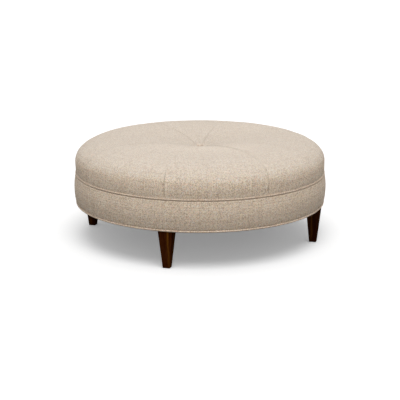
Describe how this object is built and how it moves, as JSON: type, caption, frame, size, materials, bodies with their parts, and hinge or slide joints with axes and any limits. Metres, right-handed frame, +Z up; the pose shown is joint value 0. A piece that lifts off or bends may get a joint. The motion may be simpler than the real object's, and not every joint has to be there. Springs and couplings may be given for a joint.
{
  "type": "round upholstered ottoman",
  "caption": "Round upholstered ottoman: a crowned cushion of wedge panels tufted in the middle, a padded band between welts, and tapered square wooden legs.",
  "frame": {"origin": "on the floor under the middle of the ottoman", "axes": "+Z up; the legs stand on the diagonals between X and Y, and the seams of the cushion run along X, Y and the diagonals"},
  "size_m": [1.12, 1.12, 0.4446],
  "materials": {
    "upholstery": "heathered oatmeal basket weave, matte",
    "leg_wood": "dark espresso stain, satin lacquer",
    "nylon": "moulded nylon, matte",
    "pine": "planed softwood, unfinished",
    "plywood": "plywood, unfinished",
    "hardboard": "brown hardboard, smooth",
    "steel": "zinc plated",
    "dust_cloth": "black non-woven cloth",
    "fibre": "white fibre",
    "foam": "cut foam",
    "jute": "coarse jute weave"
  },
  "bodies": {
    "root": {"leg_front_left": "leg_wood", "leg_front_right": "leg_wood", "leg_back_left": "leg_wood", "leg_back_right": "leg_wood", "glide_front_left": "nylon", "glide_front_right": "nylon", "glide_back_left": "nylon", "glide_back_right": "nylon", "leg_block_front_left": "pine", "leg_block_front_right": "pine", "leg_block_back_left": "pine", "leg_block_back_right": "pine", "hanger_bolts": "steel", "t_nuts": "steel", "block_screws": "steel", "frame_screws": "steel", "base_ring": "plywood", "top_ring": "plywood", "apron_board": "hardboard", "rail_lengthwise": "pine", "rail_crosswise": "pine", "frame_post_1": "pine", "frame_post_2": "pine", "frame_post_3": "pine", "frame_post_4": "pine", "frame_post_5": "pine", "frame_post_6": "pine", "frame_post_7": "pine", "frame_post_8": "pine", "dust_cover": "dust_cloth", "dust_cover_staples": "steel", "base_welt": "upholstery", "base_welt_cord": "fibre", "band_padding": "fibre", "band_cover": "upholstery", "seat_welt": "upholstery", "seat_welt_cord": "fibre", "webbing_lengthwise": "jute", "webbing_crosswise": "jute", "burlap_sheet": "jute", "foam_core": "foam", "batting": "fibre", "seat_panel_1": "upholstery", "seat_panel_2": "upholstery", "seat_panel_3": "upholstery", "seat_panel_4": "upholstery", "seat_panel_5": "upholstery", "seat_panel_6": "upholstery", "seat_panel_7": "upholstery", "seat_panel_8": "upholstery", "tuft_button": "upholstery", "tuft_twine": "fibre", "back_button": "nylon"}
  },
  "joints": []
}
